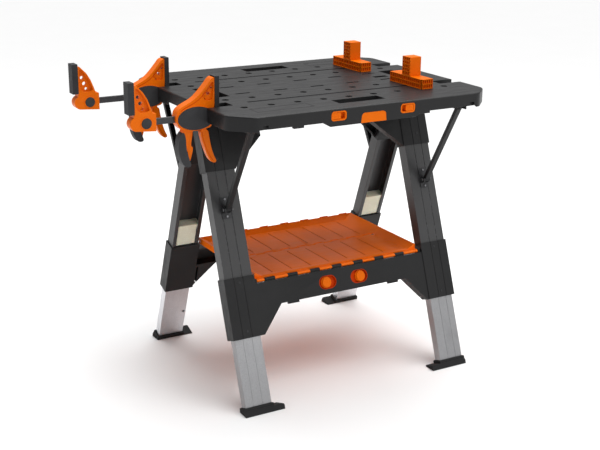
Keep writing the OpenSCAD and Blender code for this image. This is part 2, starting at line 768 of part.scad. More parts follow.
// ---- bench dogs ----
module dog(side) {
    x = side < 0 ? dog_x : dog_x - 4;
    bench() both_sides(side) translate([x, -dog_y, top_h + 0.05]) color(orange) {
        box([-19, -76, 0], [19, 76, dog_base]);
        box([-19, -18, dog_base - 1], [19, 18, dog_h]);
        for (y = hole_rows)
            translate([3 * hole_pitch - x, dog_y - y, -26])
                cylinder(d = hole_d - 0.4, h = 27);
    }
}
module dog_front() { dog(-1); }
module dog_back() { dog(1); }

centre_beam();
hinge_rods();
leaf_front();
leaf_front_trim();
latch_left();
latch_right();
leaf_back();
front_left_channel();
front_right_channel();
back_left_channel();
back_right_channel();
front_shrouds();
back_shrouds();
front_panel();
back_panel();
front_strut_brackets();
back_strut_brackets();
front_left_strut();
front_right_strut();
back_left_strut();
back_right_strut();
front_left_tube();
front_right_tube();
back_left_tube();
back_right_tube();
front_left_guide();
front_right_guide();
back_left_guide();
back_right_guide();
front_left_foot();
front_right_foot();
back_left_foot();
back_right_foot();
tray_front();
tray_back();
tray_rods();
front_slide_left();
front_slide_right();
back_slide_left();
back_slide_right();
front_clamp_bar();
front_clamp_jaw();
front_clamp_jaw_pad();
front_clamp_button();
front_clamp_body();
front_clamp_covers();
front_clamp_pad();
front_clamp_lever();
front_clamp_trigger();
back_clamp_bar();
back_clamp_jaw();
back_clamp_jaw_pad();
back_clamp_button();
back_clamp_body();
back_clamp_covers();
back_clamp_pad();
back_clamp_lever();
back_clamp_trigger();
dog_front();
dog_back();
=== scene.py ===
# Folding sawhorse work table: looks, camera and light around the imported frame.
import json
import math

import bmesh
import bpy
from mathutils import Matrix, Vector


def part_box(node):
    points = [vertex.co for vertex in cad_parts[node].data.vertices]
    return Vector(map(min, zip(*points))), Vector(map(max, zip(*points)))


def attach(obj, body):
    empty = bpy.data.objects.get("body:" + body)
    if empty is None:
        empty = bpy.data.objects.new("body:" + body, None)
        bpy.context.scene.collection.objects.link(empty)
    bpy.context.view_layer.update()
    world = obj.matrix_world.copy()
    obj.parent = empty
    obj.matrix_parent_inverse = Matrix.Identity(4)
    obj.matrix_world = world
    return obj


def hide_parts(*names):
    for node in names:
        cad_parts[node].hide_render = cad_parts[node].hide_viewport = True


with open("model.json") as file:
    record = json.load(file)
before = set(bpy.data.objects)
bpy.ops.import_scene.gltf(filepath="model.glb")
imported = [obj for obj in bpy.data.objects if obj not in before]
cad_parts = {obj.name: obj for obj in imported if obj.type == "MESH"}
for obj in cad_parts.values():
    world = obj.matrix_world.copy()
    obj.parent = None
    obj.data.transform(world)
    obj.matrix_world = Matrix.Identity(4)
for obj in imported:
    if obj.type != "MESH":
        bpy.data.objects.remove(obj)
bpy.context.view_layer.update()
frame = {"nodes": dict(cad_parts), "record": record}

MM = 0.001           # a millimetre, in the frame's metres
nodes = frame["nodes"]

# ---- places, read from the frame ----
beam_lo, beam_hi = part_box("centre_beam")
mid_x = (beam_lo.x + beam_hi.x) / 2
SPLAY = math.radians(20.05)     # lean of the legs
FOOT_Y = 0.310                  # outer face of a leg at the floor, from the middle line


def leg_matrix(side):
    """Local x along the table, y into the leg, z up along it, in millimetres."""
    base = Matrix.Translation((mid_x, -FOOT_Y, 0)) @ Matrix.Rotation(-SPLAY, 4, "X")
    if side > 0:
        base = Matrix.Scale(-1, 4, (0, 1, 0)) @ base
    return base @ Matrix.Scale(MM, 4)


def clamp_matrix(side):
    """A clamp's own frame, in millimetres: x from the table's middle, y from its bar."""
    name = "front" if side < 0 else "back"
    lo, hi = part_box(name + "_clamp_bar")
    return Matrix.Translation((mid_x, (lo.y + hi.y) / 2, 0)) @ Matrix.Scale(MM, 4)


TABLE = Matrix.Translation((mid_x, 0, 0)) @ Matrix.Scale(MM, 4)
ENDS = (("left", -1), ("right", 1))
SIDES = (("front", -1), ("back", 1))


# ---- materials ----
class Nodes:
    """Builds one procedural material node by node."""

    def __init__(self, name):
        self.mat = bpy.data.materials.new(name)
        self.mat.use_nodes = True
        self.tree = self.mat.node_tree
        self.shader = self.tree.nodes["Principled BSDF"]
        self.where = self.node("ShaderNodeTexCoord").outputs["Object"]

    def node(self, kind, **props):
        made = self.tree.nodes.new(kind)
        for key, value in props.items():
            setattr(made, key, value)
        return made

    def link(self, source, target):
        self.tree.links.new(source, target)

    def stretch(self, scale, turn=(0, 0, 0)):
        """Object coordinates, scaled and turned, for a texture with a direction."""
        made = self.node("ShaderNodeMapping")
        made.inputs["Scale"].default_value = scale
        made.inputs["Rotation"].default_value = turn
        self.link(self.where, made.inputs["Vector"])
        return made.outputs["Vector"]

    def noise(self, scale, detail=3.0, vector=None, rough=0.55):
        made = self.node("ShaderNodeTexNoise")
        made.inputs["Scale"].default_value = scale
        made.inputs["Detail"].default_value = detail
        made.inputs["Roughness"].default_value = rough
        self.link(vector or self.where, made.inputs["Vector"])
        return made.outputs["Fac"]

    def cells(self, scale, vector=None):
        made = self.node("ShaderNodeTexVoronoi")
        made.inputs["Scale"].default_value = scale
        self.link(vector or self.where, made.inputs["Vector"])
        return made.outputs["Distance"]

    def span(self, value, low, high, to_low, to_high):
        """Maps low..high of a value onto to_low..to_high."""
        made = self.node("ShaderNodeMapRange")
        made.inputs["From Min"].default_value = low
        made.inputs["From Max"].default_value = high
        made.inputs["To Min"].default_value = to_low
        made.inputs["To Max"].default_value = to_high
        self.link(value, made.inputs["Value"])
        return made.outputs["Result"]

    def maths(self, kind, a, b):
        made = self.node("ShaderNodeMath", operation=kind)
        for socket, value in zip(made.inputs, (a, b)):
            if isinstance(value, (int, float)):
                socket.default_value = value
            else:
                self.link(value, socket)
        return made.outputs[0]

    def mix(self, factor, a, b):
        made = self.node("ShaderNodeMix", data_type="RGBA")
        self.link(factor, made.inputs["Factor"])
        for socket, value in ((made.inputs[6], a), (made.inputs[7], b)):
            if isinstance(value, tuple):
                socket.default_value = (*value, 1)
            else:
                self.link(value, socket)
        return made.outputs[2]

    def edges(self, radius, sharp=0.05):
        """1 on the edges of the piece, 0 on its flats."""
        bevel = self.node("ShaderNodeBevel", samples=4)
        bevel.inputs["Radius"].default_value = radius
        normal = self.node("ShaderNodeNewGeometry").outputs["Normal"]
        dot = self.node("ShaderNodeVectorMath", operation="DOT_PRODUCT")
        self.link(bevel.outputs["Normal"], dot.inputs[0])
        self.link(normal, dot.inputs[1])
        return self.span(dot.outputs["Value"], 1 - sharp, 1 - sharp / 8, 1, 0)

    def bump(self, height, strength, distance, under=None):
        made = self.node("ShaderNodeBump")
        made.inputs["Strength"].default_value = strength
        made.inputs["Distance"].default_value = distance
        self.link(height, made.inputs["Height"])
        if under is not None:
            self.link(under, made.inputs["Normal"])
        return made.outputs["Normal"]

    def done(self, colour, rough, normal, **fixed):
        """Links the shader; fixed sets other inputs, such as Specular_IOR_Level."""
        self.link(colour, self.shader.inputs["Base Color"])
        self.link(rough, self.shader.inputs["Roughness"])
        self.link(normal, self.shader.inputs["Normal"])
        for key, value in fixed.items():
            self.shader.inputs[key.replace("_", " ")].default_value = value
        return self.mat


def tint(colour, k):
    """A colour made k times as bright."""
    return tuple(min(1.0, c * k) for c in colour)


def moulded(name, colour, rough, grain=1100, depth=0.00012, wear=0.35, vary=0.12, **fixed):
    """Injection-moulded plastic: spark-eroded grain, faint flow marks, rubbed edges."""
    n = Nodes(name)
    broad = n.noise(9, 4)
    fine = n.cells(grain)
    dust = n.noise(grain * 0.5, 2)
    base = n.mix(n.span(broad, 0.3, 0.7, 0, 1), tint(colour, 1 - vary), tint(colour, 1 + vary))
    specks = n.mix(n.span(dust, 0.55, 0.75, 0, 0.5), base, tint(colour, 1.5))
    rubbed = n.maths("MULTIPLY", n.edges(0.0012), n.span(n.noise(60), 0.35, 0.7, 0.1, wear))
    lighter = tuple(min(1.0, c * 1.7 + 0.02) for c in colour)
    colour_out = n.mix(rubbed, specks, lighter)
    scuffs = n.noise(14, 6, n.stretch((1, 6, 3)))
    rough_out = n.span(scuffs, 0.3, 0.75, rough - 0.07, rough + 0.1)
    normal = n.bump(fine, 0.35, depth)
    normal = n.bump(broad, 0.12, 0.0012, normal)
    fixed.setdefault("Specular_IOR_Level", 0.3)
    return n.done(colour_out, rough_out, normal, **fixed)


def painted(name, colour, rough, turn, **fixed):
    """Powder-coated steel: orange peel, faint rolling lines, chipped edges."""
    n = Nodes(name)
    along = n.stretch((420, 420, 5), (turn, 0, 0))
    lines = n.noise(1, 3, along)
    peel = n.noise(380, 2)
    broad = n.noise(7, 4)
    base = n.mix(n.span(broad, 0.3, 0.7, 0, 1), tint(colour, 0.88), tint(colour, 1.14))
    streaks = n.mix(n.span(lines, 0.4, 0.8, 0, 0.25), base, tint(colour, 1.5))
    chips = n.maths("MULTIPLY", n.edges(0.0009), n.span(n.noise(150, 4), 0.52, 0.62, 0.1, 0.8))
    colour_out = n.mix(chips, streaks, (0.20, 0.20, 0.21))
    rough_out = n.span(broad, 0.3, 0.7, rough - 0.05, rough + 0.08)
    normal = n.bump(peel, 0.22, 0.0002)
    normal = n.bump(lines, 0.10, 0.0001, normal)
    return n.done(colour_out, rough_out, normal, **fixed)


def brushed(name, colour, rough, turn, scale=(900, 900, 6), metallic=1.0, strength=0.25):
    """Brushed or extruded metal with lines along the stretched axis."""
    n = Nodes(name)
    lines = n.noise(1, 4, n.stretch(scale, (turn, 0, 0)))
    broad = n.noise(11, 5)
    smears = n.noise(1, 3, n.stretch((40, 40, 3), (turn, 0, 0)))
    base = n.mix(n.span(lines, 0.3, 0.7, 0, 1), tint(colour, 0.82), tint(colour, 1.1))
    dull = n.mix(n.span(smears, 0.45, 0.75, 0, 0.4), base, tint(colour, 0.75))
    bright = n.maths("MULTIPLY", n.edges(0.0008), n.span(broad, 0.3, 0.7, 0.2, 0.7))
    colour_out = n.mix(bright, dull, tint(colour, 1.25))
    rough_out = n.span(smears, 0.3, 0.75, rough - 0.06, rough + 0.12)
    normal = n.bump(lines, strength, 0.0001)
    return n.done(colour_out, rough_out, normal, Metallic=metallic)


def rubber(name, colour, rough=0.75):
    """Soft rubber: dull, slightly dusty, with a fine pebble grain."""
    n = Nodes(name)
    n.shader.inputs["Specular IOR Level"].default_value = 0.3
    pebble = n.cells(650)
    dust = n.noise(28, 6)
    base = n.mix(n.span(dust, 0.4, 0.75, 0, 1), colour, tint(colour, 1.7))
    rubbed = n.maths("MULTIPLY", n.edges(0.0014), n.span(n.noise(80), 0.3, 0.7, 0.1, 0.5))
    colour_out = n.mix(rubbed, base, tint(colour, 2.2))
    rough_out = n.span(dust, 0.3, 0.7, rough - 0.1, rough + 0.1)
    normal = n.bump(pebble, 0.4, 0.0002)
    return n.done(colour_out, rough_out, normal)


ORANGE = (0.74, 0.135, 0.0008)
# the tray's own orange made brighter, as painted light standing in for light in the shade under
# the table top
TRAY_LIT_ORANGE = (0.95, 0.155, 0.004)
LEG_PAINT = (0.031, 0.031, 0.032)
ALL_WAYS = (90, 90, 90)         # no lines in any one direction
ALONG_X = (6, 900, 900)         # lines along X, as on a drawn rod
MAT = {
    "table_top_plastic": moulded("top_plastic", (0.011, 0.011, 0.0115), rough=0.40, grain=900,
                                 depth=0.00018, Specular_IOR_Level=0.26),
    "bright_steel": brushed("zinc_steel", (0.62, 0.62, 0.64), rough=0.3, turn=0.0,
                            scale=ALONG_X),
    "orange_trim": moulded("orange_gloss", ORANGE, rough=0.4, grain=1400, depth=0.00006,
                           wear=0.25, vary=0.06, Specular_IOR_Level=0.08),
    # tray orange with painted light in its colour
    "orange_tray": moulded("orange_satin", TRAY_LIT_ORANGE, rough=0.36, grain=1000, depth=0.00014,
                           wear=0.3, vary=0.1, Specular_IOR_Level=0.12),
    # painted shade: dark orange for the bottoms of the tray's grooves
    "tray_groove": moulded("orange_groove", (0.30, 0.030, 0.0008), rough=0.6, grain=1000,
                           depth=0.0001, wear=0.1, vary=0.08, Specular_IOR_Level=0.05),
    # painted shade: darker orange for the slide holes, the dogs' lattice pockets and the lines
    # on the clamps
    "orange_shade": moulded("orange_shade", (0.52, 0.042, 0.0008), rough=0.5, grain=1200,
                            depth=0.00008, wear=0.1, vary=0.08, Specular_IOR_Level=0.05),
    "rivet_steel": brushed("rivet_steel", (0.20, 0.20, 0.21), rough=0.4, turn=0.0,
                           scale=ALL_WAYS),
    "orange_dog": moulded("orange_dog", ORANGE, rough=0.42, grain=1200, depth=0.00008,
                          wear=0.3, vary=0.06, Specular_IOR_Level=0.06),
    "black_painted_steel_front": painted("leg_paint_front", LEG_PAINT, rough=0.36, turn=-SPLAY),
    "black_painted_steel_back": painted("leg_paint_back", LEG_PAINT, rough=0.36, turn=SPLAY),
    "moulded_black": moulded("black_moulding", (0.013, 0.013, 0.0135), rough=0.42, grain=1000,
                             depth=0.00014, Specular_IOR_Level=0.24),
    "strut_bracket_steel": brushed("black_zinc", (0.035, 0.035, 0.037), rough=0.4, turn=0.0,
                                   scale=ALL_WAYS, metallic=0.5),
    "strut_steel": painted("strut_paint", (0.008, 0.008, 0.0085), rough=0.42, turn=0.5,
                           Specular_IOR_Level=0.25),
    # one aluminium in two copies: the front legs' darker as painted shade, the back legs'
    # lighter as painted light
    "lower_leg_aluminium_front": brushed("alu_front", (0.385, 0.385, 0.395), rough=0.36,
                                         turn=-SPLAY),
    "lower_leg_aluminium_back": brushed("alu_back", (0.70, 0.70, 0.72), rough=0.36,
                                        turn=SPLAY),
    "guide_nylon": moulded("natural_nylon", (0.82, 0.75, 0.58), rough=0.45, grain=500,
                           depth=0.0001, wear=0.2, vary=0.08, Subsurface_Weight=0.15),
    "foot_rubber": rubber("foot_rubber", (0.010, 0.010, 0.0105)),
    "clamp_bar_steel": brushed("phosphated_steel", (0.06, 0.062, 0.066), rough=0.42, turn=0.0,
                               scale=(6, 500, 500), metallic=0.75),
    "pad_rubber": rubber("pad_rubber", (0.019, 0.019, 0.021), rough=0.62),
    "clamp_soft_cover": rubber("cover_rubber", (0.024, 0.024, 0.026), rough=0.6),
    "orange_clamp": moulded("orange_clamp", ORANGE, rough=0.3, grain=1400, depth=0.00005,
                            wear=0.3, vary=0.06, Specular_IOR_Level=0.1),
}


SLOT = {part["node"]: part["material_slot"] for part in frame["record"]["subparts"]}
BODY = {}
for body, members in frame["record"]["behaviour"]["bodies"].items():
    for member in members:
        BODY[member] = body


def material_for(node):
    """The slot of a CAD node and the look it gets. Legs of the two sides lean opposite ways, so
    their brushed and rolled lines do too; the aluminium of the front legs is also painted darker
    and that of the back legs lighter, as painted shade and painted light."""
    slot = SLOT[node]
    side = "_front" if node.startswith("front") else "_back"
    return slot, MAT.get(slot) or MAT[slot + side]


# ---- shared mesh tools ----
def make_piece(name, bm, body, material, bevel=0.6, segments=2, angle=32):
    """Turns a bmesh in metres into a smooth-shaded piece with softened edges."""
    mesh = bpy.data.meshes.new(name)
    bm.to_mesh(mesh)
    bm.free()
    mesh.materials.append(material)
    for face in mesh.polygons:
        face.use_smooth = True
    mesh.set_sharp_from_angle(angle=math.radians(angle))
    piece = bpy.data.objects.new(name, mesh)
    bpy.context.scene.collection.objects.link(piece)
    if bevel:
        soft = piece.modifiers.new("soft_edges", "BEVEL")
        soft.width = bevel * MM
        soft.segments = segments
        weighted = "bevel_weight_edge" in mesh.attributes
        soft.limit_method = "WEIGHT" if weighted else "ANGLE"
        soft.angle_limit = math.radians(angle)
        soft.use_clamp_overlap = not weighted
        soft.harden_normals = True
    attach(piece, body)
    return piece


def cad_copy(node):
    """A bmesh of a CAD node with its split corners and coplanar faces joined."""
    bm = bmesh.new()
    bm.from_mesh(bpy.data.objects[node].data)
    bmesh.ops.remove_doubles(bm, verts=bm.verts, dist=2e-6)
    bmesh.ops.dissolve_limit(bm, angle_limit=math.radians(0.4), verts=bm.verts, edges=bm.edges)
    return bm


def skin(node, bevel, segments, round_edge=None, fine=0.2, angle=32):
    """A copy of a CAD node with rounded edges. Where round_edge says so of an edge, the
    bevel is full; other edges get the fine share of it."""
    bm = cad_copy(node)
    if round_edge:
        weight = bm.edges.layers.float.new("bevel_weight_edge")
        for edge in bm.edges:
            if len(edge.link_faces) == 2 and edge.calc_face_angle() > math.radians(angle):
                edge[weight] = 1.0 if round_edge(edge) else fine
    slot, material = material_for(node)
    if node == "tray_rods":
        material = MAT["strut_bracket_steel"]
    piece = make_piece(node + "_skin", bm, BODY[node], material, bevel, segments, angle)
    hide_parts(node)
    return piece


def rounded(points, radius, steps=5):
    """An outline with every corner rounded; radius is one number or one for each point."""
    count = len(points)
    radii = radius if isinstance(radius, (list, tuple)) else [radius] * count
    out = []
    for i in range(count):
        corner = Vector(points[i])
        before, after = Vector(points[i - 1]), Vector(points[(i + 1) % count])
        a, b = (before - corner).normalized(), (after - corner).normalized()
        half = math.acos(max(-1, min(1, a.dot(b)))) / 2
        if radii[i] <= 0 or half > 1.55:
            out.append(tuple(corner))
            continue
        reach = min(radii[i] / math.tan(half), (before - corner).length * 0.49,
                    (after - corner).length * 0.49)
        for k in range(steps + 1):
            t = k / steps
            spot = corner + a * reach * (1 - t) ** 2 + b * reach * t ** 2
            out.append(tuple(spot))
    return out


def rect(cx, cy, half_x, half_y):
    """Outline of a rectangle round its centre."""
    return [(cx - half_x, cy - half_y), (cx + half_x, cy - half_y),
            (cx + half_x, cy + half_y), (cx - half_x, cy + half_y)]


def oval(cx, cy, rx, ry, count=48):
    """Outline of an ellipse round its centre."""
    return [(cx + rx * math.cos(2 * math.pi * k / count),
             cy + ry * math.sin(2 * math.pi * k / count)) for k in range(count)]


def stadium(cx, cy, half, radius, count=12):
    """A slot outline: two half circles joined by straight sides along X."""
    out = []
    for end in (1, -1):
        for k in range(count + 1):
            a = -math.pi / 2 + math.pi * k / count
            out.append((cx + end * (half + radius * math.cos(a)),
                        cy + end * radius * math.sin(a)))
    return out


def slab(bm, outline, d0, d1, hole=None):
    """Adds an outline in the local XZ plane, extruded from depth d0 to d1. A hole needs
    as many points as the outline."""
    def ring(points, depth):
        return [bm.verts.new((x, depth, z)) for x, z in points]

    def wall(a, b):
        for i in range(len(a)):
            j = (i + 1) % len(a)
            bm.faces.new((a[i], a[j], b[j], b[i]))

    near, far = ring(outline, d0), ring(outline, d1)
    wall(near, far)
    if hole:
        near_hole, far_hole = ring(hole, d0), ring(hole, d1)
        wall(near_hole, far_hole)
        wall(near, near_hole)
        wall(far, far_hole)
    else:
        bm.faces.new(near)
        bm.faces.new(far)


def block(bm, a, b):
    """Adds a box between two corners."""
    lo, hi = [min(u, v) for u, v in zip(a, b)], [max(u, v) for u, v in zip(a, b)]
    slab(bm, [(lo[0], lo[2]), (hi[0], lo[2]), (hi[0], hi[2]), (lo[0], hi[2])], lo[1], hi[1])


def place(bm, matrix):
    """Moves a bmesh in local millimetres to the frame, with its faces outward."""
    bmesh.ops.transform(bm, matrix=matrix, verts=bm.verts)
    bmesh.ops.recalc_face_normals(bm, faces=bm.faces)
    return bm


def add(name, build, matrix, body, look, bevel=0.5, segments=2, replaces=()):
    """Builds one piece in a local frame and lets it ride on a body."""
    bm = bmesh.new()
    build(bm)
    place(bm, matrix)
    piece = make_piece(name, bm, body, MAT[look], bevel, segments)
    if replaces:
        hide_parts(*replaces)
    return piece


def spread(lo, hi, width, count):
    """Where count bars of one width start, the first at lo and the last ending at hi."""
    return [lo + k * (hi - lo - width) / (count - 1) for k in range(count)]


def rod_x(bm, centre, radius, length, segments):
    """Adds a round rod along X."""
    turn = Matrix.Rotation(math.pi / 2, 4, "Y")
    bmesh.ops.create_cone(bm, cap_ends=True, segments=segments, radius1=radius,
                          radius2=radius, depth=length,
                          matrix=Matrix.Translation(centre) @ turn)


def resample(points, count):
    """The same closed outline with count evenly spaced points."""
    loop = [Vector(p) for p in points]
    lengths = [(loop[(i + 1) % len(loop)] - loop[i]).length for i in range(len(loop))]
    total, out, i, run = sum(lengths), [], 0, 0.0
    for k in range(count):
        goal = total * k / count
        while run + lengths[i] < goal:
            run += lengths[i]
            i += 1
        t = (goal - run) / lengths[i]
        out.append(tuple(loop[i].lerp(loop[(i + 1) % len(loop)], t)))
    return out


replaced = set()     # CAD nodes that a piece of their own stands for

# ---- table top ----
HALF_L, HALF_W, TOP = 395, 333, 805     # half length, half width and height of the table
TOP_ROUND = 4.5                         # rounding of the top's outline
RIM_BAND = 60                           # how far in the corners of the outline reach
FACE = -HALF_W                          # outer face of the front skirt
LATCH_X, LATCH_Z = 105, 786             # centre of each latch frame


def on_rim(edge):
    """True for the edges of the table's outline at its top face."""
    a, b = [((v.co.x - mid_x) / MM, v.co.y / MM, v.co.z / MM) for v in edge.verts]
    outer = [abs(abs(p[0]) - HALF_L) < RIM_BAND or abs(p[1]) > HALF_W - RIM_BAND
             for p in (a, b)]
    if not all(outer):
        return False
    on_top = a[2] > TOP - 1 and b[2] > TOP - 1
    along_end = abs(abs(a[0]) - HALF_L) < 1 and abs(abs(b[0]) - HALF_L) < 1
    along_side = abs(abs(a[1]) - HALF_W) < 1 and abs(abs(b[1]) - HALF_W) < 1
    across = abs(a[0] - b[0]) > 1 and abs(a[1] - b[1]) > 1
    return on_top and (along_end or along_side or across)


for node in ("leaf_front", "leaf_back", "centre_beam"):
    skin(node, TOP_ROUND, 4, on_rim, 0.16)
    replaced.add(node)


def latch_trim(bm):
    """Latch frames and the grip insert, set just behind the face of the skirt."""
    for end in (-1, 1):
        x = end * LATCH_X
        outer = resample(rounded(rect(x, LATCH_Z, 22.8, 12.8), 7), 48)
        window = resample(rounded(rect(x, LATCH_Z, 18.9, 8.9), 5), 48)
        slab(bm, outer, FACE + 0.4, FACE + 12, window)
        slab(bm, outer, FACE + 12, FACE + 14)
    grip = [(-39.5, 760.4), (39.5, 760.4), (37, 786.6), (-37, 786.6)]
    slab(bm, rounded(grip, [1, 1, 9, 9]), FACE + 0.5, FACE + 3.2)


add("latch_trim", latch_trim, TABLE, "leaf_front", "orange_trim", 0.9, 3,
    replaces=("leaf_front_trim",))


def bezels(bm):
    """Skirt-coloured surrounds that round off the openings of the trim."""
    for end in (-1, 1):
        x = end * LATCH_X
        outer = resample(rect(x, LATCH_Z, 23, 13), 92)
        inner = resample(rounded(rect(x, LATCH_Z, 22.6, 12.6), 7.5, 8), 92)
        slab(bm, outer, FACE + 0.02, FACE + 1.6, inner)
        # corner piece beside the top of the grip
        slab(bm, [(end * 40, 760), (end * 40, 787), (end * 28, 787), (end * 34, 784.6),
                  (end * 36.9, 780), (end * 39, 760)], FACE + 0.02, FACE + 1.6)
    # wall behind the grip
    block(bm, (-40, FACE + 4.4, 762), (40, FACE + 6, 787))


add("skirt_bezels", bezels, TABLE, "leaf_front", "table_top_plastic", 0)
replaced.add("leaf_front_trim")


def latch_block(end):
    """Sliding latch with three ribs for the thumb; it stands at the outer end of its frame."""
    def build(bm):
        lo, hi = sorted((end * 98.9, end * 123.3))
        middle = (lo + hi) / 2
        face = rect(middle, LATCH_Z, (hi - lo) / 2, 8.2)
        slab(bm, rounded(face, 4), FACE + 1.2, FACE + 10.5)
        for k in (-1, 0, 1):
            rib = middle + k * 5
            block(bm, (rib - 0.8, FACE + 0.5, LATCH_Z - 5), (rib + 0.8, FACE + 2, LATCH_Z + 5))
    return build


for name, end in ENDS:
    add("latch_block_" + name, latch_block(end), TABLE, "latch_" + name, "orange_trim", 0.7, 2,
        replaces=("latch_" + name,))
    replaced.add("latch_" + name)


LABEL_X, LABEL_Y = (145, 308), (236, 279)     # blank label field, from the table's middle
LABEL_LINE = 1.4


def label_frames(side):
    """Raised outline of the blank label field on a leaf, at opposite ends of the two."""
    def build(bm):
        x0, x1 = sorted(side * x for x in LABEL_X)
        y0, y1 = sorted(side * y for y in LABEL_Y)
        for lo, hi in (((x0, y0), (x1, y0 + LABEL_LINE)),
                       ((x0, y1 - LABEL_LINE), (x1, y1)),
                       ((x0, y0 + LABEL_LINE), (x0 + LABEL_LINE, y1 - LABEL_LINE)),
                       ((x1 - LABEL_LINE, y0 + LABEL_LINE), (x1, y1 - LABEL_LINE))):
            block(bm, (lo[0], lo[1], TOP - 0.2), (hi[0], hi[1], TOP + 0.35))
    return build


def skirt_backs(side):
    """Inner wall seen through the gap beside each corner of the skirt."""
    def build(bm):
        for end in (-1, 1):
            block(bm, (end * 288, side * (HALF_W - 9), 770),
                  (end * 341, side * (HALF_W - 12), 801))
    return build


for name, side in SIDES:
    add("skirt_back_" + name, skirt_backs(side), TABLE, "leaf_" + name, "table_top_plastic",
        0.3, 1)

for name, side in SIDES:
    add("label_field_" + name, label_frames(side), TABLE, "leaf_" + name,
        "table_top_plastic", 0.15, 1)

# ---- legs ----
def foot(end):
    """Rubber foot: rounded block with a level sole, a ribbed boss round the tube, a plug."""
    def build(bm):
        lo, hi = sorted((end * 243.5, end * 361))
        slab(bm, rounded([(lo, -20), (hi, -20), (hi, 15.5), (lo, 15.5)], [0, 0, 7, 7]),
             -3, 35.5)
        lo, hi = sorted((end * 273, end * 359.5))
        slab(bm, rounded([(lo, 10), (hi, 10), (hi, 23.8), (lo, 23.8)], [0, 0, 4, 4]),
             -1.2, 33.5)
        block(bm, (end * 280, 5.4, 20), (end * 352, 26.8, 60))
        for k in range(6):
            rib = lo + 10 + k * (hi - lo - 20) / 5
            block(bm, (rib - 1, -2, 11), (rib + 1, -0.6, 21))
    return build


def level_sole(bm):
    """Cuts everything under the floor away and closes the sole."""
    geom = bm.verts[:] + bm.edges[:] + bm.faces[:]
    cut = bmesh.ops.bisect_plane(bm, geom=geom, plane_co=(0, 0, 0.0004), plane_no=(0, 0, 1),
                                 clear_inner=True)
    rim = [g for g in cut["geom_cut"] if isinstance(g, bmesh.types.BMEdge)]
    bmesh.ops.holes_fill(bm, edges=rim, sides=0)
    bmesh.ops.recalc_face_normals(bm, faces=bm.faces)


for name, side in SIDES:
    for end_name, end in ENDS:
        node = f"{name}_{end_name}_foot"
        bm = bmesh.new()
        foot(end)(bm)
        place(bm, leg_matrix(side))
        level_sole(bm)
        made = make_piece(node + "_rubber", bm, BODY[node], MAT["foot_rubber"],
                          1.6, 3)
        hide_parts(node)
        replaced.add(node)


THUMB_X, THUMB_S = 55, 309      # centre of each thumb slide, across and along the leg
THUMB_R = 13.4


def thumb_slide(end):
    """Round button on a flange, with a raised rim and three ribs."""
    def build(bm):
        x = end * THUMB_X
        button = oval(x, THUMB_S, THUMB_R, THUMB_R)
        slab(bm, oval(x, THUMB_S, 15.8, 15.8), 1.2, 5.8)
        slab(bm, button, -3.3, 1.4)
        slab(bm, button, -3.5, -3.2, oval(x, THUMB_S, THUMB_R - 2, THUMB_R - 2))
        for k in (-1, 0, 1):
            rib = x + k * 5
            block(bm, (rib - 0.9, -3.5, THUMB_S - 7), (rib + 0.9, -2.4, THUMB_S + 7))
    return build


def slide_cup(bm):
    """Lining of the two long holes that the thumb slides run in, in dark orange as painted shade
    inside the holes.
    """
    for end in (-1, 1):
        x = end * 51
        slab(bm, stadium(x, THUMB_S, 9, 18.3), 5.85, 6.08)
        slab(bm, stadium(x, THUMB_S, 9, 18.4), -0.85, 5.9, stadium(x, THUMB_S, 9, 17.2))


for name, side in SIDES:
    # the slide holes lined in painted shade
    add(name + "_slide_cups", slide_cup, leg_matrix(side), name + "_leg", "orange_shade", 0.2,
        1)
    for end_name, end in ENDS:
        node = f"{name}_slide_{end_name}"
        add(node + "_button", thumb_slide(end), leg_matrix(side), BODY[node], "orange_trim",
            0.8, 3, replaces=(node,))
        replaced.add(node)


# distance from the middle, place along the leg, depth of the face, radius of the head
SCREWS = ((321, 685, -2, 3.4), (316, 352, -3, 3.0), (316, 222, -3, 3.0))
BRACKET_X, PIVOT_S = 320, 548   # strut bracket and the pin through it


def screws(bm):
    """Screw heads on the shrouds and sleeves, with a hole for the driver."""
    for end in (-1, 1):
        for x, s, face, radius in SCREWS:
            hole = radius * 0.35
            slab(bm, oval(end * x, s, radius, radius, 20), face - 0.9, face + 0.3,
                 oval(end * x, s, hole, hole, 20))


def rivets(bm):
    """Bright rivet heads on the strut brackets and the ends of their pins."""
    for end in (-1, 1):
        x = end * BRACKET_X
        for s in (PIVOT_S - 18, PIVOT_S + 28):
            slab(bm, oval(x, s, 3.1, 3.1, 20), -4.6, -1.9)
        for across in (-13.4, 13.4):
            rod_x(bm, (x + across, -12, PIVOT_S), 4.6, 1.6, 24)


def rod_cheeks(bm):
    """Cheeks on the sleeves that hold the ends of the tray's hinge rod."""
    for end in (-1, 1):
        block(bm, (end * 263, 3.2, 334), (end * 275.5, 12.6, 353))


add("front_rod_cheeks", rod_cheeks, leg_matrix(-1), "front_leg", "moulded_black", 0.8, 2)

for name, side in SIDES:
    add(name + "_screws", screws, leg_matrix(side), name + "_leg", "strut_bracket_steel", 0.4, 2)
    add(name + "_rivets", rivets, leg_matrix(side), name + "_leg", "rivet_steel", 0.4, 2)

# ---- bench dogs ----
DOG_BASE = 27                 # height of the bar that lies on the table
DOG_X, DOG_Y = 19, 76         # half thickness and half length of the bar
POST_Y = 18                   # half width of the post
DOG_CUT = 3.2                 # depth of the lattice pockets
RIB = 2.2                     # width of a lattice rib
PEG_X, PEG_Y = 232.5, (106, 211)


def dog_body(top):
    """Core of a dog, set back under the lattice on the faces that show it."""
    def build(bm):
        floor_x = -DOG_X + DOG_CUT
        slab(bm, [(floor_x, 0), (DOG_X, 0), (DOG_X, DOG_BASE), (floor_x, DOG_BASE)],
             -DOG_Y + DOG_CUT, DOG_Y)
        joint = DOG_BASE - 0.5
        slab(bm, [(floor_x, joint), (DOG_X, joint), (DOG_X, top), (floor_x, top)],
             -POST_Y, POST_Y)
    return build


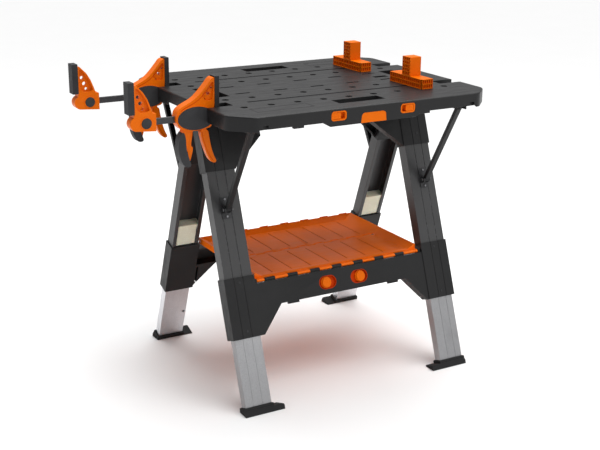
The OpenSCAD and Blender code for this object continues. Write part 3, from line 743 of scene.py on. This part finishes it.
def dog_lattice(top):
    """Ribs between the pockets: on the long face of bar and post, then on the bar's end."""
    def build(bm):
        outer, inner = -DOG_X, -DOG_X + DOG_CUT + 0.5
        near = -DOG_Y + DOG_CUT + 0.5
        rows = (0, DOG_BASE / 2 - 1, DOG_BASE - RIB)
        for z in rows:
            block(bm, (outer, -DOG_Y, z), (inner, DOG_Y, z + RIB))
        for y in spread(-DOG_Y, DOG_Y, RIB, 17):
            block(bm, (outer, y, 0.1), (inner, y + RIB, DOG_BASE - 0.1))
        for z in spread(DOG_BASE, top, RIB, 6):
            block(bm, (outer, -POST_Y, z), (inner, POST_Y, z + RIB))
        for y in spread(-POST_Y, POST_Y, RIB, 5):
            block(bm, (outer, y, DOG_BASE), (inner, y + RIB, top - 0.1))
        for x in spread(-DOG_X, DOG_X, RIB, 6):
            block(bm, (x, -DOG_Y, 0.1), (x + RIB, near, DOG_BASE - 0.1))
        for z in rows:
            block(bm, (-DOG_X, -DOG_Y, z), (DOG_X, near, z + RIB))
    return build


def dog_pockets(top):
    """Floors of the lattice pockets, in a darker orange: painted shade in the pockets."""
    def build(bm):
        floor_x, floor_y = -DOG_X + DOG_CUT, -DOG_Y + DOG_CUT
        block(bm, (floor_x - 0.1, floor_y, 0.3), (floor_x + 0.1, DOG_Y - 0.4, DOG_BASE - 0.4))
        block(bm, (floor_x - 0.1, -POST_Y + 0.2, DOG_BASE - 0.3),
              (floor_x + 0.1, POST_Y - 0.2, top - 0.4))
        block(bm, (floor_x, floor_y - 0.1, 0.3),
              (DOG_X - 0.4, floor_y + 0.1, DOG_BASE - 0.4))
    return build


def dog_pegs(side):
    """Tapered pegs in two of the table's dog holes."""
    def build(bm):
        for y in PEG_Y:
            bmesh.ops.create_cone(bm, cap_ends=True, segments=40, radius1=8.2, radius2=9.3,
                                  depth=26,
                                  matrix=Matrix.Translation((PEG_X, side * y, TOP - 13)))
    return build


for name, side in SIDES:
    lo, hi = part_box("dog_" + name)
    height = hi.z / MM - TOP - 0.05
    spot = Matrix.Translation(((lo.x + hi.x) / 2, (lo.y + hi.y) / 2, TOP * MM + 0.00005))
    spot = spot @ Matrix.Scale(MM, 4)
    body = "dog_" + name
    add(f"dog_{name}_core", dog_body(height), spot, body, "orange_dog", 1.2, 3,
        replaces=(body,))
    add(f"dog_{name}_lattice", dog_lattice(height), spot, body, "orange_dog", 0.4, 2)
    # pocket floors in painted shade
    add(f"dog_{name}_pockets", dog_pockets(height), spot, body, "orange_shade", 0)
    add(f"dog_{name}_pegs", dog_pegs(side), TABLE, body, "orange_dog", 0.8, 2)
    replaced.add(body)

# ---- tray ----
ROD_R = 2
rod_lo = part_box("tray_rods")[0]
HINGE_Y, HINGE_Z = rod_lo.y / MM + ROD_R, rod_lo.z / MM + ROD_R     # front hinge rod
TRAY_HALF = 261.5
SLAT = 60                     # pitch of the grooves between the slats
TAB_PITCH = 70                # pitch of the tabs on the rear rim


def groove_shade_strips(side):
    """Painted shade: dark strips between the slats, at the bottom of the floor's grooves."""
    def build(bm):
        floor = HINGE_Z + 2.4
        for k in range(-3, 4):
            x = k * SLAT + side * 15
            block(bm, (x - 1.45, side * 17.2, floor - 0.2),
                  (x + 1.45, side * (-HINGE_Y - 31.2), floor + 0.25))
    return build


def tray_lugs(bm):
    """Knuckles at the two ends of the front edge, round the hinge rod."""
    for x0, x1 in ((-TRAY_HALF, -239), (254, TRAY_HALF)):
        rod_x(bm, ((x0 + x1) / 2, HINGE_Y, HINGE_Z), 4.9, x1 - x0, 32)
        block(bm, (x0, HINGE_Y, HINGE_Z - 1.9), (x1, HINGE_Y + 8.5, HINGE_Z + 3.9))


def tray_tabs(bm):
    """Low tabs along the top of the rear rim."""
    outer, top = -HINGE_Y - 7, HINGE_Z + 17.8
    for k in range(7):
        x = -187 + k * TAB_PITCH
        slab(bm, [(x - 16, top - 2), (x + 16, top - 2), (x + 13, top + 2.8),
                  (x - 13, top + 2.8)], outer - 3, outer - 0.1)


for name, side in SIDES:
    # dark strips of painted shade in the tray's grooves
    add(f"tray_{name}_grooves", groove_shade_strips(side), TABLE, "tray_" + name, "tray_groove", 0)

add("tray_front_lugs", tray_lugs, TABLE, "tray_front", "orange_tray", 0.5, 2)
add("tray_back_tabs", tray_tabs, TABLE, "tray_back", "orange_tray", 0.5, 2)

# ---- clamps ----
def strip(path, width):
    """Outline of a band along an open path."""
    far = []
    for i, point in enumerate(path):
        before, after = Vector(path[max(i - 1, 0)]), Vector(path[min(i + 1, len(path) - 1)])
        along = (after - before).normalized()
        far.append((point[0] - along.y * width, point[1] + along.x * width))
    return path + far[::-1]


BAR_Z = 780                   # height of the clamp bar
COVER_X = -422                # centre of the oval cover on the clamp body
BUTTON_X = -560               # round button on the fixed jaw, before BAR_OUT
BAR_OUT = {"front": -5, "back": 26}     # how much further out each bar stands
ARM_LINE = [(-376, 868), (-386, 855), (-395, 844.5), (-405, 835), (-415, 826.5), (-427, 819.5),
            (-440, 814), (-453, 808.5), (-464, 802)]
LEVER_LINE = [(-404.5, 742), (-402.5, 728), (-398, 713), (-393, 698), (-387, 684), (-381, 673),
              (-374, 664)]


def arm_shade_lines(bm):
    """Painted shade: a dark orange line that follows the curved edge of the clamp body's arm,
    where its web is set back.
    """
    for d in (-13.12, 12.9):
        slab(bm, strip(ARM_LINE, 1.7), d, d + 0.22)


def lever_shade_lines(bm):
    """Painted shade: a dark orange line along the edge of the lever."""
    for d in (-7.12, 6.9):
        slab(bm, strip(LEVER_LINE, 1.6), d, d + 0.22)


def cover_rims(bm):
    """Orange ridge round each oval cover."""
    for d0, d1 in ((-14.6, -12.5), (12.5, 14.6)):
        slab(bm, oval(COVER_X, BAR_Z, 52.6, 31.4, 64), d0, d1,
             oval(COVER_X, BAR_Z, 50.3, 29.3, 64))


def cover_faces(bm):
    """A shallow ring on each cover, in place of its lettering."""
    for d0, d1 in ((-16.5, -15.8), (15.8, 16.5)):
        slab(bm, oval(COVER_X, BAR_Z, 45, 25.2, 64), d0, d1,
             oval(COVER_X, BAR_Z, 43.6, 23.8, 64))


TOOTH = 2.6                   # pitch of the ridges on the bar


def bar_teeth(out):
    """Fine ridges across the bar that its clutch grips."""
    def build(bm):
        for k in range(76):
            x = -524 - out + k * TOOTH
            block(bm, (x, -3.62, BAR_Z - 6.6), (x + TOOTH / 2, 3.62, BAR_Z + 6.6))
    return build


def button_ring(out):
    """Raised ring round the button of the fixed jaw."""
    def build(bm):
        x = BUTTON_X - out
        slab(bm, oval(x, BAR_Z, 15.6, 15.6), -14.4, -12.6, oval(x, BAR_Z, 13.4, 13.4))
    return build


for name, side in SIDES:
    out = BAR_OUT[name]
    frame_at = clamp_matrix(side)
    add(name + "_clamp_cover_rims", cover_rims, frame_at, name + "_clamp_body", "orange_clamp",
        0.5, 2)
    add(name + "_clamp_cover_rings", cover_faces, frame_at, name + "_clamp_body",
        "clamp_soft_cover", 0.2, 1)
    add(name + "_clamp_button_ring", button_ring(out), frame_at, name + "_clamp_bar",
        "orange_clamp", 0.5, 2)
    # dark lines of painted shade along the clamp's arm and lever
    add(name + "_clamp_arm_lines", arm_shade_lines, frame_at, name + "_clamp_body", "orange_shade",
        0)
    add(name + "_clamp_lever_lines", lever_shade_lines, frame_at, name + "_clamp_lever",
        "orange_shade", 0)
    add(name + "_clamp_bar_teeth", bar_teeth(out), frame_at, name + "_clamp_bar",
        "clamp_bar_steel", 0.1, 1)

# ---- everything else keeps its CAD shape with rounded edges ----
SMALL_BEVEL = 0.6
BEVELS = {"panel": 1.6, "shrouds": 1.4, "channel": 0.9, "tube": 0.8, "guide": 1.2,
          "jaw": 1.1, "jaw_pad": 2.2, "clamp_pad": 1.4, "body": 1.1, "covers": 1.2,
          "lever": 1.2, "trigger": 1.0, "button": 1.2, "tray_front": 0.9, "tray_back": 0.9,
          "strut": 0.9}         # by the end of the node's name, in millimetres
for node in nodes:
    if node in replaced:
        continue
    width = SMALL_BEVEL
    for ending, value in BEVELS.items():
        if node.endswith(ending):
            width = value
    skin(node, width, 3 if width > 1 else 2)

# ---- floor, light and camera ----
FLOOR_HALF = 20
floor_mesh = bpy.data.meshes.new("floor")
floor_mesh.from_pydata([(-FLOOR_HALF, -FLOOR_HALF, 0), (FLOOR_HALF, -FLOOR_HALF, 0),
                        (FLOOR_HALF, FLOOR_HALF, 0), (-FLOOR_HALF, FLOOR_HALF, 0)],
                       [], [(0, 1, 2, 3)])
floor = bpy.data.objects.new("floor", floor_mesh)
bpy.context.scene.collection.objects.link(floor)
floor_look = Nodes("floor_paper")
floor_mesh.materials.append(floor_look.done(
    floor_look.mix(floor_look.noise(3, 2), (0.89, 0.89, 0.89), (0.91, 0.91, 0.91)),
    floor_look.span(floor_look.noise(5, 2), 0.3, 0.7, 0.85, 0.95),
    floor_look.bump(floor_look.noise(400, 2), 0.05, 0.0001)))

world = bpy.data.worlds.new("studio")
world.use_nodes = True
world.node_tree.nodes["Background"].inputs["Color"].default_value = (1, 1, 1, 1)
world.node_tree.nodes["Background"].inputs["Strength"].default_value = 0.5
bpy.context.scene.world = world
bpy.context.scene.view_settings.view_transform = "Standard"


def softbox(name, spot, aim, size, power):
    """A rectangular lamp at a spot, facing its aim."""
    lamp = bpy.data.lights.new(name, "AREA")
    lamp.shape = "RECTANGLE"
    lamp.size, lamp.size_y = size
    lamp.energy = power
    made = bpy.data.objects.new(name, lamp)
    made.location = spot
    made.rotation_mode = "QUATERNION"
    made.rotation_quaternion = (Vector(aim) - Vector(spot)).to_track_quat("-Z", "Y")
    bpy.context.scene.collection.objects.link(made)


softbox("overhead", (0.4, 0.9, 3.0), (0.1, 0, 0.6), (2.6, 1.8), 54)
softbox("front", (1.6, -3.2, 1.9), (0.05, 0, 0.4), (1.8, 1.6), 15)
daylight = bpy.data.lights.new("ceiling", "SUN")
daylight.energy = 2.0
daylight.angle = math.radians(50)
ceiling = bpy.data.objects.new("ceiling", daylight)
ceiling.rotation_euler = (math.radians(14), math.radians(16), 0)
bpy.context.scene.collection.objects.link(ceiling)

# the photograph's camera, fitted to the straight edges of the top and the legs
AZIMUTH = math.radians(-30.11)
ELEVATION = math.radians(17.67)
ROLL = math.radians(0.55)
DISTANCE = 3.2861
AIM = Vector((mid_x - 0.0329, -0.0180, 0.400))
camera_data = bpy.data.cameras.new("camera")
camera_data.sensor_width = 36
camera_data.lens = 68.87
camera = bpy.data.objects.new("camera", camera_data)
back = Vector((math.sin(AZIMUTH) * math.cos(ELEVATION),
               -math.cos(AZIMUTH) * math.cos(ELEVATION), math.sin(ELEVATION)))
right = Vector((math.cos(AZIMUTH), math.sin(AZIMUTH), 0))
up = back.cross(right)
right_rolled = right * math.cos(ROLL) + up * math.sin(ROLL)
up_rolled = up * math.cos(ROLL) - right * math.sin(ROLL)
turn = Matrix((right_rolled, up_rolled, back)).transposed()
camera.matrix_world = Matrix.Translation(AIM + back * DISTANCE) @ turn.to_4x4()
bpy.context.scene.collection.objects.link(camera)
bpy.context.scene.camera = camera
